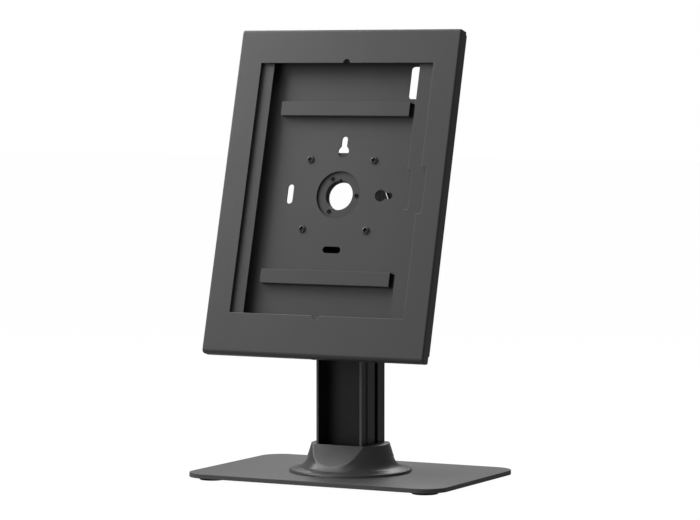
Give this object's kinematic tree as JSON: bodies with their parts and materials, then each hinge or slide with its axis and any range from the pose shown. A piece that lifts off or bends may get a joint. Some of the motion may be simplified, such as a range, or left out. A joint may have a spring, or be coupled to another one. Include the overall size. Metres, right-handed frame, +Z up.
{
  "type": "tablet security kiosk stand",
  "caption": "Desk stand with a locking sheet-steel tablet enclosure on a turning, tilting head, an extruded column and a flat base plate with a flared cover.",
  "frame": {"origin": "on the table under the middle of the base plate", "axes": "+X to the right as the user sees the tablet, +Y to the back, +Z up"},
  "size_m": [0.3, 0.2, 0.474],
  "materials": {
    "base_paint": "fine matt black powder coat",
    "foot_rubber": "soft matt rubber",
    "dark_screw": "black oxide steel",
    "column_anodised": "satin black anodised extrusion",
    "strip_plastic": "matt black plastic",
    "cover_plastic": "fine-grained satin black plastic",
    "yoke_paint": "matt black powder coat",
    "washer_nylon": "black nylon",
    "bracket_paint": "matt black powder coat",
    "hub_paint": "matt black, slightly worn at the bore",
    "housing_paint": "fine matt black powder coat",
    "frame_paint": "fine matt black powder coat",
    "mask_paint": "fine matt black powder coat"
  },
  "bodies": {
    "stand": {"base_plate": "base_paint", "rubber_feet": "foot_rubber", "base_screws": "dark_screw", "column": "column_anodised", "flared_cover": "cover_plastic", "tilt_yoke": "yoke_paint", "yoke_screws": "dark_screw", "pivot_bolts": "dark_screw", "pivot_washers": "washer_nylon", "pivot_nuts": "dark_screw"},
    "strip": {"cable_strip": "strip_plastic"},
    "tilt_head": {"tilt_bracket": "bracket_paint", "hub_bush": "hub_paint", "hub_screws": "dark_screw", "friction_ring": "washer_nylon", "stop_pin": "dark_screw"},
    "enclosure": {"head_plate": "bracket_paint", "face_screws": "dark_screw", "rear_housing": "housing_paint", "upper_bar": "housing_paint", "lower_bar": "housing_paint", "front_frame": "frame_paint", "mask_studs": "dark_screw", "lock_screw": "dark_screw", "lock_nut": "dark_screw"},
    "mask": {"mask_plate": "mask_paint"}
  },
  "joints": [
    {"name": "tilt", "type": "hinge", "parent": "stand", "child": "tilt_head", "pos_m": [0, -0.004, 0.284], "axis": [-1, 0, 0], "range_deg": [-12, 25]},
    {"name": "turn", "type": "hinge", "parent": "tilt_head", "child": "enclosure", "pos_m": [0, -0.02341, 0.30005], "axis": [0, 0.9659, -0.2588], "range_deg": [0, 90]},
    {"name": "mask_press", "type": "slide", "parent": "enclosure", "child": "mask", "axis": [0, -0.9659, 0.2588], "range_m": [0, 0.003]},
    {"name": "strip_slide", "type": "slide", "parent": "stand", "child": "strip", "axis": [0, 0, 1], "range_m": [-0.0135, 0.0265]}
  ]
}
